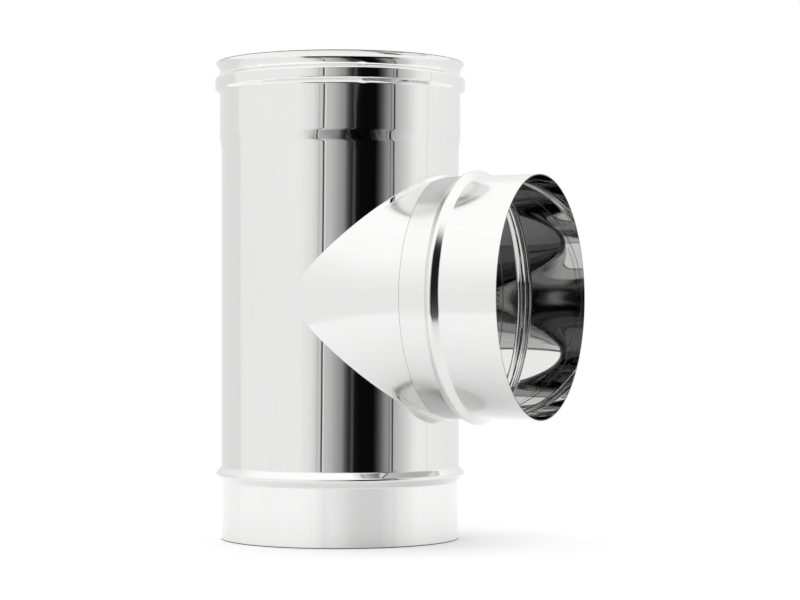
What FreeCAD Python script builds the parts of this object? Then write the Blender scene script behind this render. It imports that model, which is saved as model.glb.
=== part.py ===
# Stove pipe tee in polished stainless sheet: a straight run with a socket at its
# top and a spigot at its foot, and an equal branch at 90 degrees, ending in a spigot.
# Lengths in millimetres. The origin is the centre of the run's lower rim, +Z runs
# up the run and +X out of the branch.
import FreeCAD, Part
import math
import os
import Sketcher
from FreeCAD import Placement, Rotation, Vector

doc = FreeCAD.newDocument("StovePipeTee")

# Driving sizes, each set by itself
DRIVING = {
    "boreDiameter": 150.0,
    "sheetThickness": 0.6,
    "spigotLength": 36.1,          # run's plain end, from its rim to its stop bead
    "branchSpigotLength": 36.1,    # branch's plain end, from its mouth to its stop bead
    "stopBeadWidth": 10.4,
    "stopBeadRise": 3.4,
    "stopBeadFootRadius": 1.5,
    "stopBeadCrestRadius": 2.2,
    "landBelowBranch": 27.5,       # plain wall between the stop bead and the branch's collar
    "landAboveBranch": 16.0,       # plain wall between the branch's collar and the socket
    "socketShoulder": 8.0,         # length over which the wall widens into the socket
    "shoulderBend": 6.0,
    "socketDepth": 47.0,
    "socketClearance": 0.4,        # radial room round a spigot in the socket
    "gasketBeadSetback": 6.7,      # from the top rim to the bead
    "gasketBeadFlank": 4.3,        # length of each slanted side, its bends included
    "gasketBeadCrest": 4.9,
    "gasketBeadRise": 3.0,
    "gasketBeadBend": 1.2,
    "lipLength": 6.0,
    "lipFlare": 2.5,
    "collarBendRadius": 3.5,       # bend where the run's wall is drawn out to meet the branch
    "collarNeck": 0.4,             # straight edge of that collar, past the bend
    "weldWidth": 1.0,
    "weldCrown": 0.25,
    "weldClearance": 0.2,          # between the weld and the branch's outer ring
    "ringWidth": 15.9,             # plain ring between the run and the branch's stop bead
    "lapLength": 6.0,              # how far the stub reaches inside that ring
    "lapClearance": 0.05,
}

# Sizes that follow from those, worked out in this order
WORKED = {
    "bodyRadius": "Dimensions.boreDiameter / 2 + Dimensions.sheetThickness",
    "socketRadius": "bodyRadius + Dimensions.socketClearance + Dimensions.sheetThickness",
    "stubRadius": "bodyRadius - Dimensions.sheetThickness - Dimensions.lapClearance",
    "collarRadius": "stubRadius + Dimensions.collarBendRadius",
    "beadTop": "Dimensions.spigotLength + Dimensions.stopBeadWidth",
    "branchHeight": "beadTop + Dimensions.landBelowBranch + collarRadius",
    "shoulderFoot": "branchHeight + collarRadius + Dimensions.landAboveBranch",
    "socketFoot": "shoulderFoot + Dimensions.socketShoulder",
    "overallHeight": "socketFoot + Dimensions.socketDepth",
    "neckFoot": "overallHeight - Dimensions.gasketBeadSetback",
    "crestTop": "neckFoot - Dimensions.gasketBeadFlank",
    "crestFoot": "crestTop - Dimensions.gasketBeadCrest",
    "gasketBeadFoot": "crestFoot - Dimensions.gasketBeadFlank",
    "crestRadius": "socketRadius + Dimensions.gasketBeadRise",
    "lipFoot": "overallHeight - Dimensions.lipLength",
    "lipBend": "(Dimensions.lipFlare ^ 2 + Dimensions.lipLength ^ 2) / (2 * Dimensions.lipFlare)",
    "socketRise": "socketRadius - bodyRadius",
    "stopBeadCentre": "bodyRadius + Dimensions.stopBeadRise - Dimensions.stopBeadCrestRadius",
    "ringBeadFoot": "bodyRadius + Dimensions.ringWidth",
    "ringBeadTop": "ringBeadFoot + Dimensions.stopBeadWidth",
    "branchReach": "ringBeadTop + Dimensions.branchSpigotLength",
    "stubReach": "bodyRadius + Dimensions.lapLength",
    "jointDepth": "bodyRadius + Dimensions.collarBendRadius",
    "jointHalfWidth": "jointDepth * stubRadius / collarRadius",
    "weldReach": "Dimensions.collarNeck + Dimensions.weldWidth",
    "jointBottom": "branchHeight - collarRadius - Dimensions.collarBendRadius",
    "jointHeight": "2 * (collarRadius + Dimensions.collarBendRadius)",
}


# A sheet's outer side, and how far in from it the inner side lies
OUTER_SIDE = "0"
INNER_SIDE = "Dimensions.sheetThickness"

# How far off a wall a point may lie and still count as on it
TOUCHING = 0.001

# The direction in which an outline leaves its lower rim, from the sketch's horizontal
UPWARD = math.pi / 2


def fill_sheet(name, cells, lead):
    sheet = doc.addObject("Spreadsheet::Sheet", name)
    for row, (alias, content) in enumerate(cells.items(), start=1):
        sheet.set(f"A{row}", alias)
        sheet.set(f"B{row}", lead + str(content))
        sheet.setAlias(f"B{row}", alias)
        doc.recompute()
    return sheet


fill_sheet("Dimensions", DRIVING, "")
worked = fill_sheet("Worked", WORKED, "=")


def size(expression):
    """The value of an expression on the two sheets."""
    return float(worked.evalExpression(expression))


def bind(target, expressions):
    for path, expression in expressions.items():
        target.setExpression(path, expression)


def origin_plane(body, role):
    return next(plane for plane in body.Origin.OriginFeatures if plane.Role == role)


def lean(rise, length, bends):
    """The angle from the wall of a straight slant that rises over a length, where bends whose
    radii add up to the given sum round it into the walls at both ends."""
    overlap = bends - rise
    return math.asin(bends / math.hypot(overlap, length)) - math.atan2(overlap, length)


class Outline:
    """One side of a turned sheet: a chain of straight walls and slants with round bends, drawn
    upward from the lower rim and closed along the axis that the piece is turned about. It lies
    inside the sheet's outer side by the inset."""

    def __init__(self, body, name, inset):
        self.sketch = body.newObject("Sketcher::SketchObject", name)
        self.sketch.AttachmentSupport = [(origin_plane(body, "XZ_Plane"), "")]
        self.sketch.MapMode = "FlatFace"
        self.inset = inset
        self.end = Vector(0, 0, 0)
        self.heading = UPWARD
        self.chain = []

    def constrain(self, kind, *where):
        self.sketch.addConstraint(Sketcher.Constraint(kind, *where))

    def measure(self, kind, *where, value):
        """Adds a dimension that stays bound to the sheets."""
        index = self.sketch.addConstraint(Sketcher.Constraint(kind, *where, size(value)))
        self.sketch.setExpression(f"Constraints[{index}]", value)

    def hold_height(self, piece, end, height):
        self.measure("DistanceY", -1, 1, piece[0], piece[end], value=height)

    def add(self, piece, how, end):
        """Joins a piece to the chain. A piece is its number and the numbers of its two ends."""
        if self.chain:
            last = self.chain[-1]
            self.constrain(how, last[0], last[2], piece[0], piece[1])
        self.chain.append(piece)
        self.end = end
        return piece

    def line(self, end, how):
        index = self.sketch.addGeometry(Part.LineSegment(self.end, end), False)
        return self.add((index, 1, 2), how, end)

    def slant(self, length):
        """A straight stretch along the present heading, held by the bends at its ends."""
        along = Vector(math.cos(self.heading), math.sin(self.heading), 0)
        self.line(self.end + along * length, "Tangent")

    def bend(self, angle, radius):
        """Turns the heading left, or right if the angle is negative. The radius is the outer
        side's: a left turn has its centre inside the sheet, so its inner side is tighter."""
        left = angle > 0
        own_radius = f"{radius} - {self.inset}" if left else f"{radius} + {self.inset}"
        reach = size(own_radius) if left else -size(own_radius)
        centre = self.end + reach * Vector(-math.sin(self.heading), math.cos(self.heading), 0)
        self.heading += angle
        end = centre + reach * Vector(math.sin(self.heading), -math.cos(self.heading), 0)
        spokes = [self.end - centre, end - centre]
        positions = (1, 2)
        if not left:
            spokes.reverse()
            positions = (2, 1)
        angles = [math.atan2(spoke.y, spoke.x) for spoke in spokes]
        circle = Part.Circle(centre, Vector(0, 0, 1), abs(reach))
        index = self.sketch.addGeometry(Part.ArcOfCircle(circle, *angles), False)
        self.measure("Radius", index, value=own_radius)
        return self.add((index, *positions), "Tangent", end)

    def lower_rim(self, radius, height):
        self.end = Vector(0, size(height), 0)
        piece = self.line(Vector(size(f"{radius} - {self.inset}"), self.end.y, 0), "Coincident")
        self.constrain("Horizontal", piece[0])
        self.constrain("PointOnObject", piece[0], 1, -2)
        self.hold_height(piece, 1, height)

    def wall(self, radius, top, how="Tangent"):
        """A straight wall, up to the height at which the next piece starts."""
        piece = self.line(Vector(self.end.x, size(top), 0), how)
        self.constrain("Vertical", piece[0])
        self.measure("DistanceX", -1, 1, piece[0], 1, value=f"{radius} - {self.inset}")

    def stop_bead(self, foot, top):
        """A bead with slanted sides, a round crest and rounded feet."""
        rise = size("Dimensions.stopBeadRise")
        half = size("Dimensions.stopBeadWidth / 2")
        bends = size("Dimensions.stopBeadFootRadius + Dimensions.stopBeadCrestRadius")
        angle = lean(rise, half, bends)
        straight = rise / math.sin(angle) - bends * math.tan(angle / 2)
        first = self.bend(-angle, "Dimensions.stopBeadFootRadius")
        self.slant(straight)
        crest = self.bend(2 * angle, "Dimensions.stopBeadCrestRadius")
        self.slant(straight)
        last = self.bend(-angle, "Dimensions.stopBeadFootRadius")
        self.hold_height(first, 1, foot)
        self.hold_height(last, 2, top)
        self.measure("DistanceX", -1, 1, crest[0], 3, value="Worked.stopBeadCentre")
        self.measure("DistanceY", -1, 1, crest[0], 3, value=f"({foot} + {top}) / 2")

    def step(self, rise, radius, foot, top):
        """A slanted side that carries the wall outward by a rise, or inward by a negative one,
        with the same bend at its foot and its top."""
        distance = size(rise)
        bends = size(f"2 * {radius}")
        angle = lean(abs(distance), size(top) - size(foot), bends)
        straight = abs(distance) / math.sin(angle) - bends * math.tan(angle / 2)
        turn_first = math.copysign(angle, -distance)
        first = self.bend(turn_first, radius)
        self.slant(straight)
        last = self.bend(-turn_first, radius)
        self.hold_height(first, 1, foot)
        self.hold_height(last, 2, top)

    def lip(self, bend, foot, top):
        """The last of the wall, flared outward to the rim."""
        angle = math.asin((size(top) - size(foot)) / size(f"{bend} + {self.inset}"))
        piece = self.bend(-angle, bend)
        self.hold_height(piece, 1, foot)
        self.hold_height(piece, 2, top)

    def close(self, top=None):
        """The upper rim, held at its height if the last wall leaves it free, and the axis."""
        rim = self.line(Vector(0, self.end.y, 0), "Coincident")
        self.constrain("Horizontal", rim[0])
        if top:
            self.hold_height(rim, 1, top)
        axis = self.line(self.sketch.Geometry[0].StartPoint, "Coincident")
        self.constrain("Vertical", axis[0])
        self.constrain("Coincident", axis[0], 2, self.chain[0][0], 1)


def draw_run(body, name, inset):
    run = Outline(body, name, inset)
    run.lower_rim("Worked.bodyRadius", "0")
    run.wall("Worked.bodyRadius", "Dimensions.spigotLength", "Coincident")
    run.stop_bead("Dimensions.spigotLength", "Worked.beadTop")
    run.wall("Worked.bodyRadius", "Worked.shoulderFoot")
    run.step("Worked.socketRise", "Dimensions.shoulderBend", "Worked.shoulderFoot", "Worked.socketFoot")
    run.wall("Worked.socketRadius", "Worked.gasketBeadFoot")
    run.step("Dimensions.gasketBeadRise", "Dimensions.gasketBeadBend",
             "Worked.gasketBeadFoot", "Worked.crestFoot")
    run.wall("Worked.crestRadius", "Worked.crestTop")
    run.step("-Dimensions.gasketBeadRise", "Dimensions.gasketBeadBend",
             "Worked.crestTop", "Worked.neckFoot")
    run.wall("Worked.socketRadius", "Worked.lipFoot")
    run.lip("Worked.lipBend", "Worked.lipFoot", "Worked.overallHeight")
    run.close()
    return run.sketch


def draw_spigot(body, name, inset):
    spigot = Outline(body, name, inset)
    spigot.lower_rim("Worked.bodyRadius", "Worked.bodyRadius")
    spigot.wall("Worked.bodyRadius", "Worked.ringBeadFoot", "Coincident")
    spigot.stop_bead("Worked.ringBeadFoot", "Worked.ringBeadTop")
    spigot.wall("Worked.bodyRadius", "Worked.branchReach")
    spigot.close("Worked.branchReach")
    return spigot.sketch


def draw_stub(body, name, inset):
    """The stub's round section, in the plane across the branch."""
    sketch = body.newObject("Sketcher::SketchObject", name)
    sketch.AttachmentSupport = [(origin_plane(body, "YZ_Plane"), "")]
    sketch.MapMode = "FlatFace"
    radius = f"Worked.stubRadius - {inset}"
    centre = Vector(0, size("Worked.branchHeight"), 0)
    sketch.addGeometry(Part.Circle(centre, Vector(0, 0, 1), size(radius)), False)
    sketch.addConstraint(Sketcher.Constraint("PointOnObject", 0, 3, -2))
    sketch.addConstraint(Sketcher.Constraint("DistanceY", -1, 1, 0, 3, centre.y))
    sketch.addConstraint(Sketcher.Constraint("Radius", 0, size(radius)))
    bind(sketch, {"Constraints[1]": "Worked.branchHeight", "Constraints[2]": radius})
    return sketch


def turn(body, kind, sketch):
    turned = body.newObject("PartDesign::" + kind, sketch.Name + kind)
    turned.Profile = sketch
    turned.ReferenceAxis = (sketch, ["V_Axis"])
    turned.Angle = 360
    doc.recompute()


def run_out(body, kind, sketch, backward):
    """Carries the stub's section out from the run's axis to the stub's end."""
    straight = body.newObject("PartDesign::" + kind, sketch.Name + kind)
    straight.Profile = sketch
    straight.Reversed = backward
    bind(straight, {"Length": "Worked.stubReach"})
    doc.recompute()
    return straight


def leaves_run(edge, inset):
    """True on the line where the stub's wall leaves the run's wall."""
    middle = edge.valueAt((edge.FirstParameter + edge.LastParameter) / 2)
    off_run = math.hypot(middle.x, middle.y) - size(f"Worked.bodyRadius - {inset}")
    above = middle.z - size("Worked.branchHeight")
    off_stub = math.hypot(middle.y, above) - size(f"Worked.stubRadius - {inset}")
    return middle.x > 0 and abs(off_run) < TOUCHING and abs(off_stub) < TOUCHING


def round_corner(body, base, inset):
    """Rounds that line on one side of the sheet, as where the wall is drawn out to a collar."""
    edges = enumerate(base.Shape.Edges, start=1)
    bend = body.newObject("PartDesign::Fillet", base.Name + "Bend")
    bend.Base = (base, [f"Edge{number}" for number, edge in edges if leaves_run(edge, inset)])
    bind(bend, {"Radius": f"Dimensions.collarBendRadius + {inset}"})
    body.Tip = bend
    doc.recompute()


# Run and stub as one formed shell: the outer side is solid at first, and the inner side
# is then cut out of it
shell = doc.addObject("PartDesign::Body", "FormedShell")
turn(shell, "Revolution", draw_run(shell, "RunOutside", OUTER_SIDE))
outside = run_out(shell, "Pad", draw_stub(shell, "StubOutside", OUTER_SIDE), False)
round_corner(shell, outside, OUTER_SIDE)
turn(shell, "Groove", draw_run(shell, "RunInside", INNER_SIDE))
inside = run_out(shell, "Pocket", draw_stub(shell, "StubInside", INNER_SIDE), True)
round_corner(shell, inside, INNER_SIDE)


def feature(kind, name, label="", **links):
    made = doc.addObject(kind, name)
    for link, value in links.items():
        setattr(made, link, value)
    if label:
        made.Label = label
    return made


def joint_column(name, shift):
    """An upright column of elliptical section. Its side meets the stub's wall on the line where
    the collar's bend ends, or on that line moved out along the branch by the shift."""
    ellipse = feature("Part::Ellipse", name + "Section")
    bind(ellipse, {
        "MajorRadius": "Worked.jointDepth",
        "MinorRadius": "Worked.jointHalfWidth",
        "Placement.Base.x": shift,
        "Placement.Base.z": "Worked.jointBottom",
    })
    column = feature("Part::Extrusion", name, Base=ellipse, Dir=Vector(0, 0, 1), Solid=True)
    bind(column, {"LengthFwd": "Worked.jointHeight"})
    return column


def branch_cylinder(name, radius):
    """A solid round bar along the branch's axis, out from the run's axis."""
    bar = feature("Part::Cylinder", name, Placement=Placement(Vector(), Rotation(Vector(0, 1, 0), 90)))
    bind(bar, {
        "Radius": radius,
        "Height": "Worked.branchReach",
        "Placement.Base.z": "Worked.branchHeight",
    })
    return bar


collar_edge = joint_column("CollarEdge", "Dimensions.collarNeck")
weld_edge = joint_column("WeldEdge", "Worked.weldReach")
ring_edge = joint_column("RingEdge", "Worked.weldReach + Dimensions.weldClearance")
branch_bar = branch_cylinder("BranchBar", "Worked.stubRadius + Dimensions.lapClearance")

# The run keeps the drawn collar, and the stub starts past the weld
past_collar = feature("Part::Cut", "PastCollar", Base=branch_bar, Tool=collar_edge)
main_pipe = feature("Part::Cut", "MainPipe", "main_pipe", Base=shell, Tool=past_collar)
past_weld = feature("Part::Cut", "PastWeld", Base=branch_bar, Tool=weld_edge)
branch_stub = feature("Part::MultiCommon", "BranchStub", "branch_stub", Shapes=[shell, past_weld])

# The weld fills the gap between them, flush inside and a little proud outside
weld_bar = branch_cylinder("WeldBar", "Worked.stubRadius + Dimensions.weldCrown")
weld_bore = branch_cylinder("WeldBore", "Worked.stubRadius - Dimensions.sheetThickness")
weld_tube = feature("Part::Cut", "WeldTube", Base=weld_bar, Tool=weld_bore)
weld_gap = feature("Part::Cut", "WeldGap", Base=weld_edge, Tool=collar_edge)
saddle_weld = feature("Part::MultiCommon", "SaddleWeld", "saddle_weld", Shapes=[weld_tube, weld_gap])

# The branch's outer ring, stop bead and spigot, turned about an axis laid along +X, and
# notched over and under the branch where the collar stands in its way
spigot_shell = doc.addObject("PartDesign::Body", "SpigotShell")
spigot_shell.Placement = Placement(Vector(), Rotation(Vector(0, 1, 0), 90))
bind(spigot_shell, {"Placement.Base.z": "Worked.branchHeight"})
turn(spigot_shell, "Revolution", draw_spigot(spigot_shell, "SpigotOutside", OUTER_SIDE))
turn(spigot_shell, "Groove", draw_spigot(spigot_shell, "SpigotInside", INNER_SIDE))
branch_spigot = feature("Part::Cut", "BranchSpigot", "branch_spigot", Base=spigot_shell, Tool=ring_edge)

doc.recompute()
pieces = [main_pipe, branch_stub, saddle_weld, branch_spigot]

for item in doc.Objects:
    if "Invalid" in item.State or "Error" in item.State:
        raise RuntimeError(f"{item.Label} could not be built")
for piece in pieces:
    if piece.Shape.isNull() or not piece.Shape.isValid() or len(piece.Shape.Solids) != 1:
        raise RuntimeError(f"{piece.Label} is not one sound solid")

os.makedirs("parts", exist_ok=True)
for piece in pieces:
    piece.Shape.exportStep(f"parts/{piece.Label}.step")
    print(piece.Label, round(piece.Shape.Volume), "cubic mm")
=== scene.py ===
# Stove pipe tee in thin polished stainless sheet, standing on a round white table in a studio.
# The run goes up +Z with its socket on top, and the branch leaves along +X.
# Sizes in the dictionaries are millimetres and degrees unless noted, and meshes are metres.
import math
import random

import bpy
import numpy as np
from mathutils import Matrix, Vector


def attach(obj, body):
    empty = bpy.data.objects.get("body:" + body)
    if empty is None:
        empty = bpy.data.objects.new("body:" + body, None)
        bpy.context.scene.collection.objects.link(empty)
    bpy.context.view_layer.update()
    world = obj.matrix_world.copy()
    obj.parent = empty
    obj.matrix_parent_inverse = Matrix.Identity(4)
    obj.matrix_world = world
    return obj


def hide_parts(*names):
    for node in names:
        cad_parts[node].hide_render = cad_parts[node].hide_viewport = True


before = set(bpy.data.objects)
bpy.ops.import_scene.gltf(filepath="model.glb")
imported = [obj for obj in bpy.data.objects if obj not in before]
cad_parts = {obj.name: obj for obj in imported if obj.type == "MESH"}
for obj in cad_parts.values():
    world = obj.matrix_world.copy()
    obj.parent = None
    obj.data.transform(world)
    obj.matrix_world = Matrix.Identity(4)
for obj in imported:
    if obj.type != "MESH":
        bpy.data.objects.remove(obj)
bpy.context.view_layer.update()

mm = 0.001
chance = random.Random(12)
print("frame loaded")

# sizes that several pieces share
tee = {
    "sheet": 0.6,
    "wallRadius": 75.6,        # outer side of both plain ends
    "branchHeight": 152.45,
    "stubRadius": 74.95,
    "jointOffset": 3.5,        # how far past the run's wall the collar ends, at its top
    "collarNeck": 0.4,
    "weldWidth": 1.0,
    "ringStart": 75.6,
    "beadWidth": 10.4,
    "beadRise": 3.4,
    "beadFootBend": 1.5,
    "beadCrestBend": 2.2,
    "sideColumns": 360,        # mesh columns round a full turn
    "arcStep": 8.0,            # degrees of bend for each row
    "fewestBendRows": 3,
}


class SheetLine:
    # one side of a turned sheet, drawn upward from its lower rim: each point keeps its
    # radius, its height and the lean of the wall, which is positive where it leans outward
    def __init__(self, radius, height, inset):
        self.inset = inset
        self.lean = 0.0
        self.radius = radius - inset
        self.height = height
        self.points = [(self.radius, height, 0.0)]

    def softenRim(self, angle, radius):
        # the outer corner of the lower rim, rounded off
        self.lean = angle
        self.radius -= radius * (1 - math.cos(angle))
        self.points = [(self.radius, self.height, angle)]
        self.bend(-angle, radius)

    def mark(self):
        self.points.append((self.radius, self.height, self.lean))

    def wall(self, top, rows=1):
        start = self.height
        for row in range(1, rows + 1):
            self.height = start + (top - start) * row / rows
            self.mark()

    def slant(self, length, rows=1):
        for row in range(rows):
            self.radius += length / rows * math.sin(self.lean)
            self.height += length / rows * math.cos(self.lean)
            self.mark()

    def bend(self, angle, radius):
        # an outward bend has its centre outside the sheet, so the inner side is the wider one
        outward = 1 if angle > 0 else -1
        own = radius + outward * self.inset
        centreRadius = self.radius + outward * own * math.cos(self.lean)
        centreHeight = self.height - outward * own * math.sin(self.lean)
        start = self.lean
        rows = max(tee["fewestBendRows"], math.ceil(math.degrees(abs(angle)) / tee["arcStep"]))
        for row in range(1, rows + 1):
            self.lean = start + angle * row / rows
            self.radius = centreRadius - outward * own * math.cos(self.lean)
            self.height = centreHeight + outward * own * math.sin(self.lean)
            self.mark()

    def step(self, rise, length, firstBend, lastBend, rows=1):
        # a straight slant between two bends, to a wider radius or, with a rise below 0, back
        bends = firstBend + lastBend
        angle = leanOf(abs(rise), length, bends)
        straight = abs(rise) / math.sin(angle) - bends * math.tan(angle / 2)
        angle = math.copysign(angle, rise)
        self.bend(angle, firstBend)
        self.slant(straight, rows)
        self.bend(-angle, lastBend)

    def bead(self, footBend=tee["beadFootBend"], crestBend=tee["beadCrestBend"]):
        rise, half = tee["beadRise"], tee["beadWidth"] / 2
        self.step(rise, half, footBend, crestBend)
        self.step(-rise, half, crestBend, footBend)

    def rows(self):
        return np.array(self.points).T


def leanOf(rise, length, bends):
    # lean of a straight slant whose end bends have radii that add up to the given sum
    overlap = bends - rise
    return math.asin(bends / math.hypot(overlap, length)) - math.atan2(overlap, length)


def upright(radius, height, angle, lean, side):
    # points and normals about the run's axis, where the angle starts from the branch's side
    radius, height, angle, lean = np.broadcast_arrays(radius, height, angle, lean)
    flat = np.cos(lean)
    points = np.stack([radius * np.cos(angle), radius * np.sin(angle), height], -1)
    normals = np.stack([flat * np.cos(angle), flat * np.sin(angle), -np.sin(lean)], -1)
    return points, normals * side


def alongBranch(radius, reach, angle, lean, side):
    # the same about the branch's axis, where the angle starts from the top
    radius, reach, angle, lean = np.broadcast_arrays(radius, reach, angle, lean)
    flat = np.cos(lean)
    above = tee["branchHeight"] + radius * np.cos(angle)
    points = np.stack([reach, radius * np.sin(angle), above], -1)
    normals = np.stack([-np.sin(lean), flat * np.sin(angle), flat * np.cos(angle)], -1)
    return points, normals * side


outerFinish, edgeAndShadowFinish, innerFinish, ringFinish = range(4)    # places in a piece's materials
sideFinish = {1: outerFinish, -1: innerFinish}
sheetSides = ((0.0, 1), (tee["sheet"], -1))    # how deep each side lies, and the way it faces


class SheetMesh:
    # collects grids of points with their own normals and joins them where they meet
    def __init__(self, name):
        self.name = name
        self.points, self.normals, self.quads, self.finishes = [], [], [], []
        self.count = 0

    def grid(self, points, normals, finish=outerFinish):
        rows, columns = points.shape[:2]
        index = np.arange(rows * columns).reshape(rows, columns)
        quads = np.stack([index[:-1, :-1], index[:-1, 1:], index[1:, 1:], index[1:, :-1]], -1)
        quads = quads.reshape(-1, 4)
        points, normals = points.reshape(-1, 3), normals.reshape(-1, 3)
        corner = points[quads]
        across = np.cross(corner[:, 2] - corner[:, 0], corner[:, 3] - corner[:, 1])
        if np.sum(across * normals[quads].mean(1)) < 0:
            quads = quads[:, ::-1]
        self.points.append(points)
        self.normals.append(normals[quads])
        self.quads.append(quads + self.count)
        self.finishes.append(np.full(len(quads), finish))
        self.count += len(points)

    def rim(self, outer, inner, end, finish=edgeAndShadowFinish):
        # the cut edge between the sheet's two sides, at the first or last row of their grids
        beside = 1 if end == 0 else -2
        points = np.stack([outer[end], inner[end]])
        normal = np.cross(np.gradient(points.mean(0), axis=0), outer[end] - inner[end])
        away = np.sum(normal * (outer[end] - outer[beside]), 1, keepdims=True)
        normal = unit(normal * np.sign(away))
        self.grid(points, np.stack([normal, normal]), finish)

    def build(self, materials):
        points = np.concatenate(self.points)
        quads, normals = np.concatenate(self.quads), np.concatenate(self.normals)
        finishes = np.concatenate(self.finishes)
        first, joined = np.unique(np.round(points, 4), axis=0, return_index=True,
                                  return_inverse=True)[1:]
        quads = joined.reshape(-1)[quads]
        # faces that shrank to a line or a point are left out
        sound = np.array([len(set(quad)) == 4 for quad in quads.tolist()])
        quads, normals, finishes = quads[sound], normals[sound], finishes[sound]
        mesh = bpy.data.meshes.new(self.name)
        mesh.from_pydata((points[first] * mm).tolist(), [], quads.tolist())
        mesh.polygons.foreach_set("use_smooth", np.ones(len(quads), bool))
        mesh.polygons.foreach_set("material_index", finishes.astype(np.int32))
        for material in materials:
            mesh.materials.append(material)
        mesh.normals_split_custom_set(normals.reshape(-1, 3).tolist())
        mesh.update()
        piece = bpy.data.objects.new(self.name, mesh)
        bpy.context.scene.collection.objects.link(piece)
        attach(piece, "root")
        print(self.name, len(mesh.polygons) * 2, "triangles")
        return piece


def unit(vectors):
    return vectors / np.linalg.norm(vectors, axis=-1, keepdims=True)


def fullTurn(columns):
    return np.linspace(0, 2 * math.pi, columns + 1)[None, :]


def turned(sheetMesh, place, line, angles, side, rowRange=slice(None), relief=None, finish=None):
    radius, height, lean = [values[rowRange, None] for values in line.rows()]
    points, normals = place(radius, height, angles, lean, side)
    if relief:
        points, normals = pressed(points, normals, relief(points) * side)
    sheetMesh.grid(points, normals, sideFinish[side] if finish is None else finish)
    return points


def pressed(points, normals, depth):
    # moves a grid's points along their normals and tilts the normals to suit
    moved = points + depth[..., None] * normals
    for axis in (0, 1):
        way = np.gradient(points, axis=axis)
        length = np.linalg.norm(way, axis=-1)
        slope = np.gradient(depth, axis=axis) / length
        normals = normals - (slope / length)[..., None] * way
    normals = unit(normals)
    if np.allclose(points[:, 0], points[:, -1]):
        normals[:, 0] = normals[:, -1] = unit(normals[:, 0] + normals[:, -1])
    return moved, normals


def jointReach(across, shift):
    # how far out along +X the line lies where the stub leaves the collar, at a place across it
    depth = tee["wallRadius"] + tee["jointOffset"]
    half = depth * tee["stubRadius"] / (tee["stubRadius"] + tee["jointOffset"])
    return depth * np.sqrt(np.clip(1 - (across / half) ** 2, 0, None)) + shift


# the saddle, where the branch's wall flares a little before it creases into the run's wall
saddle = {
    "halfHeight": 77.7,        # of its foot on the run
    "spread": 0.955,           # how much straighter than a plain crossing the foot's sides are
    "rounding": 12,            # how late those sides turn into the round ends
    "crease": 1.3,             # length of the bend on each side of the crease
    "creaseShare": 0.45,       # at most, of what the collar has room for
    "flareCurve": 1.6,
    "shortestFlare": 4.0,
    "runwardShare": 0.2,       # of the run's normal in the guess at which side faces out
    "tableSteps": 4000,
}


def saddleFoot(turn):
    # the foot as an angle about the run and a height, for a turn about the branch from its top
    folded = np.minimum(np.abs(turn), math.pi - np.abs(turn))
    end = math.pi / 2
    rounded = end / saddle["rounding"] * (folded / end) ** saddle["rounding"]
    angle = (folded - rounded) / saddle["spread"]
    return np.copysign(angle, turn), saddle["halfHeight"] * np.cos(turn)


def footTable():
    # the foot's reach along +X and its distance from the branch's axis, by the angle about it
    turn = np.linspace(-math.pi, math.pi, saddle["tableSteps"] + 1)
    angle, above = saddleFoot(turn)
    across = tee["wallRadius"] * np.sin(angle)
    around = np.unwrap(np.arctan2(across, above))
    return around, tee["wallRadius"] * np.cos(angle), np.hypot(across, above)


footAround, footReach, footRadius = footTable()


def saddleRadius(reach, around):
    # distance of the flared wall from the branch's axis
    around = (around + math.pi) % (2 * math.pi) - math.pi
    start = np.interp(around, footAround, footReach)
    flare = np.interp(around, footAround, footRadius) - tee["stubRadius"]
    length = np.hypot(tee["ringStart"] - start, saddle["shortestFlare"])
    share = np.clip((reach - start) / length, 0, 1)
    return tee["stubRadius"] + flare * (1 - share) ** saddle["flareCurve"]


def closedNormals(points, outward):
    # normals of a grid that closes on itself round the branch, on the side that outward names
    along = np.linalg.norm(np.diff(points, axis=0), axis=-1).mean(1)
    rowward = np.gradient(points, np.concatenate([[0], np.cumsum(along)]), axis=0)
    ring = points[:, :-1]
    ringward = np.roll(ring, -1, 1) - np.roll(ring, 1, 1)
    ringward = np.concatenate([ringward, ringward[:, :1]], 1)
    normals = unit(np.cross(rowward, ringward))
    return normals * np.sign(np.sum(normals * outward, -1, keepdims=True))


class Wire:
    # one socket of a node, so that sums on it are written as they are
    def __init__(self, nodes, socket):
        self.nodes, self.socket = nodes, socket

    def sum(self, operation, *values):
        return self.nodes.add("ShaderNodeMath", {"operation": operation}, *values)

    def __add__(self, other):
        return self.sum("ADD", self, other)

    def __radd__(self, other):
        return self.sum("ADD", other, self)

    def __sub__(self, other):
        return self.sum("SUBTRACT", self, other)

    def __rsub__(self, other):
        return self.sum("SUBTRACT", other, self)

    def __mul__(self, other):
        return self.sum("MULTIPLY", self, other)

    def __rmul__(self, other):
        return self.sum("MULTIPLY", other, self)

    def __truediv__(self, other):
        return self.sum("DIVIDE", self, other)

    def __rtruediv__(self, other):
        return self.sum("DIVIDE", other, self)

    def size(self):
        return self.sum("ABSOLUTE", self)

    def steps(self, low, high):
        # 0 below the low value, 1 above the high one, and smooth between
        return self.nodes.add("ShaderNodeMapRange", {"interpolation_type": "SMOOTHSTEP"},
                              Value=self, **{"From Min": low, "From Max": high})


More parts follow.
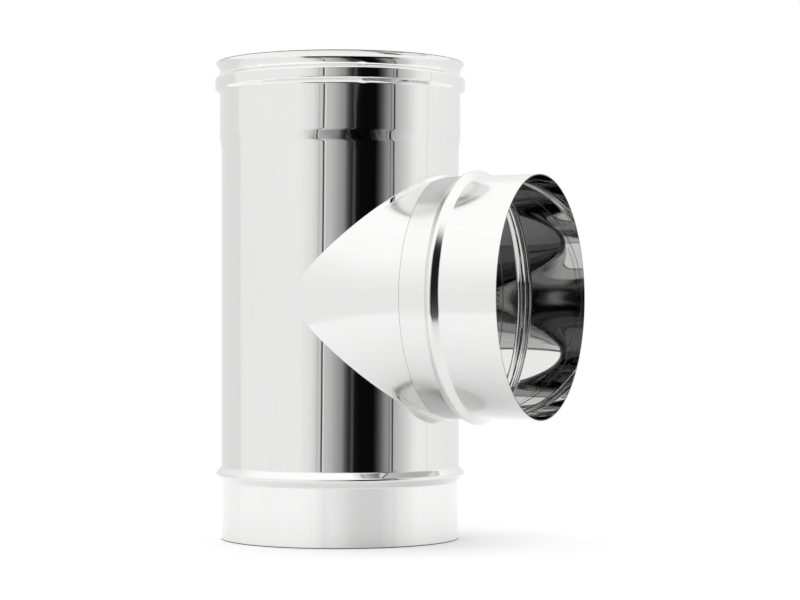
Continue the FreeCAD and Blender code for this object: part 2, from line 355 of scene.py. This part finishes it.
class Nodes:
    def __init__(self, owner):
        owner.use_nodes = True
        self.tree = owner.node_tree
        self.tree.nodes.clear()

    def add(self, kind, settings=None, *values, take=0, **named):
        # a node with its settings first, then the values or links of its sockets
        node = self.tree.nodes.new(kind)
        settings = dict(settings or {})
        stops = settings.pop("stops", None)
        for name, value in settings.items():
            setattr(node, name, value)
        if stops:
            ramp = node.color_ramp
            while len(ramp.elements) < len(stops):
                ramp.elements.new(1.0)
            for element, (place, level) in zip(ramp.elements, stops):
                element.position = place
                element.color = (level, level, level, 1)
        for key, value in [*enumerate(values), *named.items()]:
            socket = node.inputs[key]
            if isinstance(value, Wire):
                self.tree.links.new(value.socket, socket)
            else:
                socket.default_value = value
        return Wire(self, node.outputs[take]) if node.outputs else node

    def blend(self, share, first, second):
        # mixes two colours by a share
        return self.add("ShaderNodeMix", {"data_type": "RGBA"}, take=2,
                        **{"Factor": share, "A": first, "B": second})


def colour(level, warm=0.0):
    return (level * (1 + warm), level, level * (1 - warm), 1)


# X and Z, which the two pipes lie along
branchAxis, runAxis = 0, 2

steel = {
    "reflectance": 0.80,
    "innerReflectance": 0.66,
    # the run's inner side is darker than the branch's: partly its unpolished mill finish, partly
    # painted shade inside the pipe
    "runInnerReflectance": 0.53,
    "runInnerDullness": 0.12,   # the run's inner side kept the mill's satin
    "roughness": 0.03,
    "branchDullness": 0.10,     # the branch was buffed after welding, which left it softer
    "ringDullness": 0.22,
    "paintedShadeFrom": (0.71, 0.77),    # height from the branch's axis where the ring's painted shade starts, as a share of its radius
    # how dark that painted shade makes the ring's tone
    "paintedShadeShare": 0.72,
    "streakScale": 700.0,
    "streakStretch": 0.035,     # streaks of the rolling are drawn out along the pipe
    "streakRange": (0.3, 0.7),
    "streakTone": 0.008,
    "streakWarmth": (0.004, 0.002),
    "streakRoughness": 0.02,
    "grainHeight": 0.0000012,   # metres, as all heights here
    "smudgeScale": 38.0,
    "smudgeRange": (0.52, 0.75),
    "smudgeRoughness": 0.035,
    "waveScale": 26.0,          # of the sheet's slow waviness
    "waveStretch": 0.35,
    "waveHeight": 0.00006,
}


# the welds where the long edges of each rolled sheet meet, in metres unless noted
seam = {
    "angles": {runAxis: 152.0, branchAxis: 166.0},    # degrees, at the back and underneath
    "fullWidth": 0.0004,        # on each side of the line
    "fadeWidth": 0.0009,
    "wander": 0.0004,
    "rippleScale": 420.0,
    "height": 0.00004,
    "shade": 0.55,
    "reflectance": 0.72,        # share of the sheet's
    "warmth": 0.03,
    "roughness": 0.14,
}


def seamFrame(along):
    # a point on the pipe's axis, the way out to its seam and the way across the seam
    turn = math.radians(seam["angles"][along])
    if along == branchAxis:
        centre = (0, 0, tee["branchHeight"] * mm)
        return centre, (0, math.sin(turn), math.cos(turn)), (0, math.cos(turn), -math.sin(turn))
    return (0, 0, 0), (math.cos(turn), math.sin(turn), 0), (-math.sin(turn), math.cos(turn), 0)


def seamWeld(nodes, place, along):
    # 1 along the line where the sheet's two long edges were welded, and 0 elsewhere
    centre, out, across = seamFrame(along)
    fromAxis = nodes.add("ShaderNodeVectorMath", {"operation": "SUBTRACT"}, place, centre)
    dot = {"operation": "DOT_PRODUCT"}
    ahead = nodes.add("ShaderNodeVectorMath", dot, fromAxis, out, take=1)
    aside = nodes.add("ShaderNodeVectorMath", dot, fromAxis, across, take=1)
    ripple = nodes.add("ShaderNodeTexNoise", None, place, Scale=seam["rippleScale"], Detail=2.0)
    beside = aside.size() + (ripple - 0.5) * seam["wander"]
    onSeam = (1 - beside.steps(seam["fullWidth"], seam["fadeWidth"])) * ahead.steps(0, mm)
    return onSeam, ripple


def stretched(nodes, place, along, share):
    # the same place squeezed along the pipe, so that a texture there looks drawn out
    squeeze = tuple(share if axis == along else 1.0 for axis in range(3))
    return nodes.add("ShaderNodeVectorMath", {"operation": "MULTIPLY"}, place, squeeze)


def polishedSteel(name, along, reflectance, dullness=0.0, paintedShadeAboveBelow=False):
    # along is the axis of the pipe that the sheet was rolled into
    material = bpy.data.materials.new(name)
    nodes = Nodes(material)
    place = nodes.add("ShaderNodeTexCoord", take=3)
    streaks = nodes.add("ShaderNodeTexNoise", None,
                        stretched(nodes, place, along, steel["streakStretch"]),
                        Scale=steel["streakScale"], Detail=4.0, Roughness=0.6)
    smudges = nodes.add("ShaderNodeTexNoise", None, place,
                        Scale=steel["smudgeScale"], Detail=5.0, Roughness=0.55)
    waves = nodes.add("ShaderNodeTexNoise", None,
                      stretched(nodes, place, along, steel["waveStretch"]),
                      Scale=steel["waveScale"], Detail=2.0, Roughness=0.4)
    onSeam, ripple = seamWeld(nodes, place, along)
    roughness = steel["roughness"] + dullness + onSeam * seam["roughness"]
    roughness = roughness + (streaks - 0.5) * steel["streakRoughness"]
    roughness = roughness + smudges.steps(*steel["smudgeRange"]) * steel["smudgeRoughness"]
    darker, lighter = steel["streakWarmth"]
    tone = nodes.blend(streaks.steps(*steel["streakRange"]),
                       colour(reflectance - steel["streakTone"], darker),
                       colour(reflectance + steel["streakTone"], lighter))
    tone = nodes.blend(onSeam * seam["shade"], tone,
                       colour(reflectance * seam["reflectance"], seam["warmth"]))
    if paintedShadeAboveBelow:
        # painted shade over and under the branch: the ring's tone is darkened where it reflects
        # the run's wall and the shaded table
        above = nodes.add("ShaderNodeSeparateXYZ", None, place, take=2) - tee["branchHeight"] * mm
        paintedShade = (above / (tee["wallRadius"] * mm)).size().steps(*steel["paintedShadeFrom"])
        tone = nodes.blend(paintedShade, tone, colour(reflectance * steel["paintedShadeShare"]))
    height = waves * steel["waveHeight"] + streaks * steel["grainHeight"]
    height = height + onSeam * (ripple + 1.0) * seam["height"]
    relief = nodes.add("ShaderNodeBump", None, Height=height, Strength=1.0, Distance=1.0)
    surface = nodes.add("ShaderNodeBsdfPrincipled", None, Roughness=roughness, Metallic=1.0,
                        Normal=relief, **{"Base Color": tone})
    nodes.add("ShaderNodeOutputMaterial", None, surface)
    return material


# metal that no wheel reached: the sheet's sheared edges, and the scorched spot welds. The edges'
# dark tone is partly their raw finish and partly painted shade along the rims, and the same dark
# finish paints a contact shadow on the run's rounded foot
rawFinish = {
    "cut_edge_and_painted_shadow": {
        "grainScale": 900.0,
        "grainDetail": 3.0,
        "dark": (0.06, 0.0),    # tone and warmth
        "light": (0.17, 0.0),
        "roughness": (0.3, 0.2),    # least, and what the grain adds
        "grainHeight": 0.00005,
    },
    "spot_weld_metal": {
        "grainScale": 1500.0,
        "grainDetail": 2.0,
        "dark": (0.02, 0.05),
        "light": (0.10, 0.08),
        "roughness": (0.35, 0.2),
    },
}


def rawMetal(name):
    material = bpy.data.materials.new(name)
    nodes = Nodes(material)
    look = rawFinish[name]
    place = nodes.add("ShaderNodeTexCoord", take=3)
    grain = nodes.add("ShaderNodeTexNoise", None, place,
                      Scale=look["grainScale"], Detail=look["grainDetail"])
    tone = nodes.blend(grain, colour(*look["dark"]), colour(*look["light"]))
    least, added = look["roughness"]
    sockets = {"Base Color": tone, "Roughness": grain * added + least, "Metallic": 1.0}
    if "grainHeight" in look:
        sockets["Normal"] = nodes.add("ShaderNodeBump", None, Height=grain * look["grainHeight"],
                                      Strength=1.0, Distance=1.0)
    surface = nodes.add("ShaderNodeBsdfPrincipled", None, **sockets)
    nodes.add("ShaderNodeOutputMaterial", None, surface)
    return material


runSteel = polishedSteel("polished_run_sheet", runAxis, steel["reflectance"])
# the run's inner sheet, darkened partly as painted shade inside the pipe
innerRunSteel = polishedSteel("inner_run_sheet", runAxis, steel["runInnerReflectance"],
                              steel["runInnerDullness"])
branchSteel = polishedSteel("polished_branch_sheet", branchAxis, steel["reflectance"],
                            steel["branchDullness"])
# the ring's sheet, duller, with painted shade over and under the branch
shadedRingSteel = polishedSteel("buffed_ring_with_painted_shade", branchAxis, steel["reflectance"],
                          steel["ringDullness"], paintedShadeAboveBelow=True)
innerBranchSteel = polishedSteel("inner_branch_sheet", branchAxis, steel["innerReflectance"])
groundSteel = polishedSteel("ground_weld", branchAxis, steel["reflectance"],
                            steel["branchDullness"])
edgeAndShadowSteel = rawMetal("cut_edge_and_painted_shadow")
spotSteel = rawMetal("spot_weld_metal")
print("finishes made")


run = {
    "rimAngle": 48.0,          # how far its lower rim's outer corner is rounded, and how widely
    "rimRadius": 0.8,
    "rimRows": 6,
    "spigotLength": 36.1,
    "spigotRows": 3,
    "plainRows": 2,            # of the wall between the bead and the patch, and of the socket
    "shoulderFoot": 246.9,
    "shoulderLength": 8.0,
    "shoulderBend": 9.5,
    "shoulderRows": 5,         # outside, where the tool left its marks
    "socketRise": 1.0,
    "gasketFoot": 281.7,
    "gasketFlank": 4.3,
    "gasketCrest": 4.9,
    "gasketRise": 3.0,
    "gasketFootBend": 2.8,
    "gasketCrestBend": 1.5,
    "lipFoot": 295.9,
    "lipLength": 5.55,         # of the outer side, which the cut across the sheet leaves lower
    "lipFlare": 2.5,
    "patchColumns": 101,       # half the width of the patch round the branch, in columns
    "patchMargin": 12.0,       # plain wall round the collar inside that patch
    "patchRows": 24,
    "patchRings": 10,
    "creaseRows": 5,
    "collarRows": 8,
}


# what the forming tool left: small humps where its segments met, and an uneven shoulder
marks = {
    "angles": (-103.6, -53.5, -11.0, 36.0, 79.0, 124.0, 171.0, 215.0),
    "levels": ((283.4, 0.34), (294.0, 0.34)),    # height of each row of humps, and their depth
    "width": 2.4,
    "tall": 1.4,
    "shoulder": 250.5,
    "shoulderSpread": 3.2,
    "wobbleCounts": (9, 14, 19, 23, 31, 37, 44),    # waves in a turn of the shoulder
    "wobbleDepth": (0.004, 0.014),
    "bruise": -54.0,           # angle where a segment of the tool scuffed the shoulder
    "bruiseSpread": 8.0,
    "bruiseDepth": 0.05,
    "bruiseWaves": ((0.9, 0.4), (1.25, 2.1), (1.7, 4.4)),    # phase a millimetre, and its start
    "bruiseSlant": 0.8,        # phase a millimetre of height
}
shoulderWaves = [(count, chance.uniform(*marks["wobbleDepth"]), chance.uniform(0, 6.28))
                 for count in marks["wobbleCounts"]]


def runLine(inset):
    line = SheetLine(tee["wallRadius"], 0.0, inset)
    if inset == 0:
        line.softenRim(math.radians(run["rimAngle"]), run["rimRadius"])
    else:
        line.wall(run["rimRadius"] * math.sin(math.radians(run["rimAngle"])), run["rimRows"])
    rimRow = len(line.points) - 1
    line.wall(run["spigotLength"], run["spigotRows"])
    line.bead()
    patchFoot, patchTop = patchSpan()
    line.wall(patchFoot, run["plainRows"])
    patchRow = len(line.points) - 1
    line.wall(patchTop, run["patchRows"])
    line.wall(run["shoulderFoot"])
    shoulderRows = run["shoulderRows"] if inset == 0 else 1
    line.step(run["socketRise"], run["shoulderLength"], run["shoulderBend"], run["shoulderBend"],
              shoulderRows)
    line.wall(run["gasketFoot"], run["plainRows"])
    rise, flank = run["gasketRise"], run["gasketFlank"]
    line.step(rise, flank, run["gasketFootBend"], run["gasketCrestBend"])
    line.wall(line.height + run["gasketCrest"])
    line.step(-rise, flank, run["gasketCrestBend"], run["gasketFootBend"])
    line.wall(run["lipFoot"])
    flare, length = run["lipFlare"], run["lipLength"]
    lipBend = (flare ** 2 + length ** 2) / (2 * flare)
    line.bend(math.asin(length / lipBend), lipBend)
    return line, rimRow, patchRow


def patchSpan():
    half = saddle["halfHeight"] + run["patchMargin"]
    return tee["branchHeight"] - half, tee["branchHeight"] + half


def patchBorder(columnAngle):
    # the patch's rectangle as angle and height, clockwise from its top middle
    half, rows = run["patchColumns"], run["patchRows"]
    foot, top = patchSpan()
    steps = np.linspace(top, foot, rows + 1)
    angles = [*range(0, half), *[half] * rows, *range(half, -half, -1), *[-half] * rows,
              *range(-half, 1)]
    heights = [*[top] * half, *steps[:-1], *[foot] * (2 * half), *steps[::-1][:-1],
               *[top] * (half + 1)]
    return np.array(angles) * columnAngle, np.array(heights)


def collarGrid(turn):
    # from the run's wall over the crease and along the flare to the collar's neck
    angle, above = saddleFoot(turn)
    crease = saddle["crease"]
    foot = upright(tee["wallRadius"], tee["branchHeight"] + above, angle, 0, 1)[0]
    along = np.roll(foot[:-1], -1, 0) - np.roll(foot[:-1], 1, 0)
    along = unit(np.concatenate([along, along[:1]]))
    wallNormal = upright(1.0, 0, angle, 0, 1)[1]
    inward = unit(np.cross(wallNormal, along))
    around = np.arctan2(foot[:, 1], foot[:, 2] - tee["branchHeight"])
    # the start of the bend stays on the run's round wall
    backed = foot - crease * inward
    startAngle = np.arctan2(backed[:, 1], backed[:, 0])
    start = upright(tee["wallRadius"], backed[:, 2], startAngle, 0, 1)[0]
    neckEnd = jointReach(tee["stubRadius"] * np.sin(around), tee["collarNeck"])
    share = np.linspace(0, 1, run["collarRows"] + 1)[:, None]
    first = foot[:, 0] + np.minimum(crease, saddle["creaseShare"] * (neckEnd - foot[:, 0]))
    reach = first + (neckEnd - first) * share
    flared = alongBranch(saddleRadius(reach, around), reach, around[None], 0, 1)[0]
    bend = np.linspace(0, 1, run["creaseRows"] + 1)[:-1, None, None]
    rounded = (1 - bend) ** 2 * start + 2 * bend * (1 - bend) * foot + bend ** 2 * flared[0]
    points = np.concatenate([rounded, flared])
    outward = alongBranch(1.0, 0, around[None] + 0 * points[..., 0], 0, 1)[1]
    outward = outward + saddle["runwardShare"] * wallNormal
    normals = closedNormals(points, outward)
    normals[0] = upright(1.0, 0, startAngle, 0, 1)[1]
    return points, normals, startAngle


def formingMarks(points):
    # how far the tool's marks stand out from the turned sheet at each point
    angle = np.degrees(np.arctan2(points[..., 1], points[..., 0]))
    height = points[..., 2]
    depth = 0 * angle
    for place in marks["angles"]:
        aside = ((angle - place + 180) % 360 - 180) * math.pi / 180 * tee["wallRadius"]
        for level, deep in marks["levels"]:
            fall = (aside / marks["width"]) ** 2 + ((height - level) / marks["tall"]) ** 2
            depth += deep * np.exp(-fall)
    turn = np.radians(angle)
    wobble = sum(size * np.cos(count * turn + phase) for count, size, phase in shoulderWaves)
    aside = np.radians(angle - marks["bruise"]) * tee["wallRadius"]
    scuff = sum(np.cos(rate * aside + start + marks["bruiseSlant"] * height)
                for rate, start in marks["bruiseWaves"])
    wobble = wobble + marks["bruiseDepth"] * scuff * np.exp(-(aside / marks["bruiseSpread"]) ** 2)
    return depth + wobble * np.exp(-((height - marks["shoulder"]) / marks["shoulderSpread"]) ** 2)


def buildRun():
    # turned sheet, with a patch left out of its rows where the branch's collar is drawn out
    shell = SheetMesh("run_shell")
    columns, half = tee["sideColumns"], run["patchColumns"]
    full = fullTurn(columns)
    besidePatch = full[:, half:columns - half + 1]
    borderAngle, borderHeight = patchBorder(2 * math.pi / columns)
    widest = saddleFoot(np.array([math.pi / 2]))[0][0]
    borderRise = (borderHeight - tee["branchHeight"]) / saddle["halfHeight"]
    turn = np.arctan2(borderAngle / widest, borderRise)
    turn[-1] = turn[0]
    collar, collarNormals, contactAngle = collarGrid(turn)
    rims = []
    for inset, side in sheetSides:
        line, rimRow, patchRow = runLine(inset)
        patchTop = patchRow + run["patchRows"]
        # outside, the rounded foot takes the dark edge finish: a painted contact shadow along the
        # floor
        below = turned(shell, upright, line, full, side, slice(None, rimRow + 1),
                       finish=edgeAndShadowFinish if side == 1 else innerFinish)
        turned(shell, upright, line, full, side, slice(rimRow, patchRow + 1))
        turned(shell, upright, line, besidePatch, side, slice(patchRow, patchTop + 1))
        above = turned(shell, upright, line, full, side, slice(patchTop, None), formingMarks)
        # the wall round the collar
        share = np.linspace(0, 1, run["patchRings"] + 1)[:, None]
        angle = contactAngle + (borderAngle - contactAngle) * share
        height = collar[0][:, 2] + (borderHeight - collar[0][:, 2]) * share
        points, normals = upright(tee["wallRadius"] - inset, height, angle, 0, side)
        shell.grid(points, normals, sideFinish[side])
        drawn = collar - inset * collarNormals
        shell.grid(drawn, collarNormals * side, sideFinish[side])
        rims.append((below, above, drawn))
    for end, outer, inner in zip((0, -1, -1), *rims):
        shell.rim(outer, inner, end)
    piece = shell.build([runSteel, edgeAndShadowSteel, innerRunSteel])
    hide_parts("main_pipe")


buildRun()


saddleWeld = {
    "crown": 0.012,
    "rows": 8,
}


def buildWeld():
    weld = SheetMesh("saddle_weld_bead")
    around = fullTurn(tee["sideColumns"])
    half = tee["weldWidth"] / 2
    stations = np.linspace(-1, 1, saddleWeld["rows"] + 1)[:, None]
    middle = jointReach(tee["stubRadius"] * np.sin(around), tee["collarNeck"] + half)
    reach = middle + stations * half
    wall = saddleRadius(reach, around)
    crown, root = saddleWeld["crown"] * (1 - stations ** 2), -tee["sheet"]
    sides = []
    for height, side in ((crown, 1), (root, -1)):
        points, outward = alongBranch(wall + height, reach, around, 0, side)
        weld.grid(points, closedNormals(points, outward))
        sides.append(points)
    for end in (0, -1):
        weld.rim(*sides, end, outerFinish)
    piece = weld.build([groundSteel])
    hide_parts("saddle_weld")


stubTube = {
    "end": 81.6,
    "rows": 16,
    "crowding": 1.3,           # draws those rows toward the weld
}


def buildStub():
    stub = SheetMesh("stub_tube")
    around = fullTurn(tee["sideColumns"])
    share = np.linspace(0, 1, stubTube["rows"] + 1)[:, None] ** stubTube["crowding"]
    start = jointReach(tee["stubRadius"] * np.sin(around), tee["collarNeck"] + tee["weldWidth"])
    reach = start + (stubTube["end"] - start) * share
    outside, outward = alongBranch(saddleRadius(reach, around), reach, around, 0, 1)
    normals = closedNormals(outside, outward)
    inside = outside - tee["sheet"] * outward
    stub.grid(outside, normals)
    stub.grid(inside, -normals, innerFinish)
    for end in (0, -1):
        stub.rim(outside, inside, end)
    piece = stub.build([branchSteel, edgeAndShadowSteel, innerBranchSteel])
    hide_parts("branch_stub")


ringAndSpigot = {
    "notchClearance": 0.2,
    "ringRows": (0.0, 0.013, 0.25, 0.5, 0.75, 1.0),    # the first strip is dull from shearing
    "beadFoot": 91.5,
    "innerBeadBend": 2.6,      # the bead's groove is rounder than its outer side
    "mouth": 138.0,
    "spigotRows": 6,
}


def buildSpigot():
    spigot = SheetMesh("ring_and_spigot")
    around = fullTurn(tee["sideColumns"])
    clearance = tee["collarNeck"] + tee["weldWidth"] + ringAndSpigot["notchClearance"]
    share = np.array(ringAndSpigot["ringRows"])[:, None]
    rings, rests = [], []
    for inset, side in sheetSides:
        radius = tee["wallRadius"] - inset
        # the plain ring, notched over and under the branch
        start = np.maximum(tee["ringStart"], jointReach(radius * np.sin(around), clearance))
        reach = start + (ringAndSpigot["beadFoot"] - start) * share
        ring, normals = alongBranch(radius, reach, around, 0, side)
        line = SheetLine(tee["wallRadius"], ringAndSpigot["beadFoot"], inset)
        if side == 1:
            spigot.grid(ring[:2], normals[:2], edgeAndShadowFinish)
            spigot.grid(ring[1:], normals[1:], ringFinish)
            line.bead()
        else:
            spigot.grid(ring, normals, innerFinish)
            line.bead(ringAndSpigot["innerBeadBend"], ringAndSpigot["innerBeadBend"])
        line.wall(ringAndSpigot["mouth"], ringAndSpigot["spigotRows"])
        rests.append(turned(spigot, alongBranch, line, around, side))
        rings.append(ring)
    spigot.rim(*rings, 0)
    spigot.rim(*rests, -1)
    finishes = [branchSteel, edgeAndShadowSteel, innerBranchSteel, shadedRingSteel]
    piece = spigot.build(finishes)
    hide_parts("branch_spigot")


spotWeld = {
    "reach": 78.6,
    "pitch": 3.4,
    "clearance": 2.4,          # none lies nearer to the joint's line
    "radius": 0.75,
    "sizes": (0.85, 1.15),
    "stray": 0.12,
    "height": 0.09,
    "depth": 0.2,              # how deep the weld's root lies in the wall
    "corners": 12,
    "rings": (0.0, 0.45, 0.8, 1.0),
}


def buildSpots():
    # the row of spot welds inside, where the stub laps into the ring
    spots = SheetMesh("spot_welds")
    inner = tee["stubRadius"] - tee["sheet"]
    count = round(2 * math.pi * inner / spotWeld["pitch"])
    ringAngles = fullTurn(spotWeld["corners"])
    shares = np.array(spotWeld["rings"])[:, None]
    dome, root = spotWeld["height"] * (1 - shares ** 2), spotWeld["depth"] * (1 - shares ** 2)
    for number in range(count):
        around = 2 * math.pi * (number + 0.5) / count
        joint = jointReach(inner * math.sin(around), spotWeld["clearance"])
        if joint > spotWeld["reach"] - spotWeld["radius"]:
            continue
        away = spotWeld["radius"] * chance.uniform(*spotWeld["sizes"]) * shares
        reach = spotWeld["reach"] + chance.uniform(-spotWeld["stray"], spotWeld["stray"])
        reach = reach + away * np.cos(ringAngles)
        spin = around + away * np.sin(ringAngles) / inner
        spots.grid(*alongBranch(inner - dome, reach, spin, 0, -1))
        spots.grid(*alongBranch(inner + root, reach, spin, 0, 1))
    spots.build([spotSteel])


buildWeld()
buildStub()
buildSpigot()
buildSpots()
print("branch built")


table = {
    "radius": 640.0,           # about the run's axis
    "corners": 160,
    "thickness": 22.0,
    "gap": 0.02,               # under the tee, so that the two never share a face
    "edgeBend": 3.0,
    "bendMiddle": 0.3,         # share of the bend's size that its middle is set back
    "colour": 0.90,
    "sheenColour": 0.86,       # as the steel sees it
    "sheenRoughness": 0.3,
    "glow": 0.17,
}


def buildTable():
    # a round white board with a softened edge, its top where the tee stands
    bend, corners = table["edgeBend"], table["corners"]
    middle = bend * table["bendMiddle"]
    rings = ((bend, 0.0), (middle, -middle), (0.0, -bend), (0.0, -table["thickness"]))
    points = []
    for inset, height in rings:
        radius = table["radius"] - inset
        for corner in range(corners):
            turn = 2 * math.pi * corner / corners
            place = (radius * math.cos(turn), radius * math.sin(turn), height - table["gap"])
            points.append([size * mm for size in place])
    lowest = (len(rings) - 1) * corners
    faces = [range(corners), range(lowest + corners - 1, lowest - 1, -1)]
    for ring in range(0, lowest, corners):
        for side in range(corners):
            first, second = ring + side, ring + (side + 1) % corners
            faces.append((second, first, first + corners, second + corners))
    mesh = bpy.data.meshes.new("table")
    mesh.from_pydata(points, [], faces)
    mesh.materials.append(tableWhite())
    piece = bpy.data.objects.new("table", mesh)
    bpy.context.scene.collection.objects.link(piece)


def tableWhite():
    material = bpy.data.materials.new("white_table")
    nodes = Nodes(material)
    fromCamera = nodes.add("ShaderNodeLightPath")
    sheen = nodes.add("ShaderNodeBsdfPrincipled", None, Roughness=table["sheenRoughness"],
                      **{"Base Color": colour(table["sheenColour"])})
    shade = nodes.add("ShaderNodeBsdfDiffuse", None, colour(table["colour"]))
    board = nodes.add("ShaderNodeMixShader", None, fromCamera, sheen, shade)
    # it glows a little as overexposed white does, but not under the run, inside the pipe
    glow = nodes.add("ShaderNodeEmission", None, colour(1.0), table["glow"])
    glowing = nodes.add("ShaderNodeAddShader", None, board, glow)
    place = nodes.add("ShaderNodeTexCoord", take=3)
    flat = nodes.add("ShaderNodeVectorMath", {"operation": "MULTIPLY"}, place, (1.0, 1.0, 0.0))
    away = nodes.add("ShaderNodeVectorMath", {"operation": "LENGTH"}, flat, take=1)
    outside = away.steps((tee["wallRadius"] - tee["sheet"]) * mm, tee["wallRadius"] * mm)
    surface = nodes.add("ShaderNodeMixShader", None, outside, board, glowing)
    nodes.add("ShaderNodeOutputMaterial", None, surface)
    return material


buildTable()


camera = {
    "place": (0.6341, -1.2899, 0.1342),    # metres, with the clip
    "aim": (-0.4172, 0.9088, 0.0),
    "lens": 101.28,
    "sensor": 36.0,
    "shift": 0.0341,
    "clip": (0.05, 20.0),
}

# Where the studio's parts lie, in degrees from the camera and positive to its right. White walls
# on both sides stop at dark frames, with the dark room between.
studio = {
    "round": [                  # brightness all round, level with the tee
        # white wall on the left, fading toward the camera
        (-180, 0.91), (-112, 0.91), (-109, 1.04), (-37, 1.05), (-25, 0.94), (-20, 0.78),
        (-17, 0.70), (-12, 0.66), (-9, 0.645), (-5, 0.57), (0, 0.43), (6, 0.30), (7.4, 0.16),
        # dark room, with one pale upright thing in it
        (9, 0.095), (12.5, 0.016), (14.8, 0.11), (16.5, 0.010), (21, 0.004), (35, 0.003),
        # white wall on the right
        (38, 0.03), (42, 0.115), (46, 0.28), (50, 0.38), (54, 0.46), (56, 0.56), (62, 0.67),
        (70, 0.84), (76, 0.99), (82, 1.07), (105, 1.05), (180, 0.91),
    ],
    "frames": [                 # thin upright edges: where, half width and darkness
        (-18.4, 0.9, 0.22), (-14.1, 1.2, 0.93), (-12.4, 0.8, -0.4),
        (50.5, 0.8, 0.5), (53.8, 1.1, 0.96), (93.0, 1.2, 0.10),
    ],
    "frameCore": 0.25,          # share of that width at full darkness
    "frameLean": 0.35,          # how far those edges lean to the right as they rise
    "leanLevel": 0.075,         # height of a direction at which they stand where the list says
    "lowSides": (-32, 68),      # below the level of the tee the dark room is this wide
    "lowFade": 0.03,            # of a full turn
    "lowFrom": (0.15, 0.33),    # how far down a direction points
    "lowDarkness": 0.97,
    "overhead": 1.22,
    "horizon": 0.95,
    "overheadFrom": 0.9,        # how far up a direction points
    "darkTop": 33.0,            # elevation up to which the dark room reaches
    "darkTopFade": 14.0,
}


def buildStudio():
    world = bpy.data.worlds.new("studio")
    bpy.context.scene.world = world
    nodes = Nodes(world)
    aim = Vector(camera["aim"]).normalized()
    rightward = aim.cross(Vector((0, 0, 1)))
    way = nodes.add("ShaderNodeTexCoord", take=0)
    dot = {"operation": "DOT_PRODUCT"}
    ahead = nodes.add("ShaderNodeVectorMath", dot, way, tuple(-aim), take=1)
    aside = nodes.add("ShaderNodeVectorMath", dot, way, tuple(rightward), take=1)
    upward = nodes.add("ShaderNodeVectorMath", dot, way, (0, 0, 1), take=1)
    leaning = aside - (upward - studio["leanLevel"]) * studio["frameLean"]
    bearing = nodes.add("ShaderNodeMath", {"operation": "ARCTAN2"}, leaning, ahead)
    share = bearing / (2 * math.pi) + 0.5
    stops = [(degrees / 360 + 0.5, level) for degrees, level in studio["round"]]
    level = nodes.add("ShaderNodeValToRGB", {"stops": stops}, share)
    for degrees, half, darkness in studio["frames"]:
        away = (share - (degrees / 360 + 0.5)).size()
        outside = away.steps(studio["frameCore"] * half / 360, half / 360)
        level = level * (1 - darkness * (1 - outside))
    # the dark room is wider near the floor
    left, right = [side / 360 + 0.5 for side in studio["lowSides"]]
    fade = studio["lowFade"]
    low = share.steps(left, left + fade) * (1 - share.steps(right - fade, right))
    low = low * (0 - upward).steps(*studio["lowFrom"])
    level = level * (1 - low * studio["lowDarkness"])
    # and closed above
    elevations = (studio["darkTop"], studio["darkTop"] + studio["darkTopFade"])
    closing = upward.steps(*[math.sin(math.radians(elevation)) for elevation in elevations])
    walls = level * (1 - closing) + closing
    above = upward.steps(0.0, studio["overheadFrom"])
    lift = studio["horizon"] + (studio["overhead"] - studio["horizon"]) * above
    # the camera itself sees plain white behind the tee
    fromCamera = nodes.add("ShaderNodeLightPath")
    strength = fromCamera + (1 - fromCamera) * (walls * lift)
    light = nodes.add("ShaderNodeBackground", None, colour(1.0), strength)
    nodes.add("ShaderNodeOutputWorld", None, light)


def placeCamera():
    lens = bpy.data.cameras.new("camera")
    lens.sensor_width = camera["sensor"]
    lens.lens = camera["lens"]
    lens.shift_y = camera["shift"]
    lens.clip_start, lens.clip_end = camera["clip"]
    eye = bpy.data.objects.new("camera", lens)
    bpy.context.scene.collection.objects.link(eye)
    eye.location = camera["place"]
    eye.rotation_euler = Vector(camera["aim"]).to_track_quat("-Z", "Y").to_euler()
    bpy.context.scene.camera = eye


buildStudio()
placeCamera()
bpy.context.scene.view_settings.view_transform = "Standard"
print("studio lit")
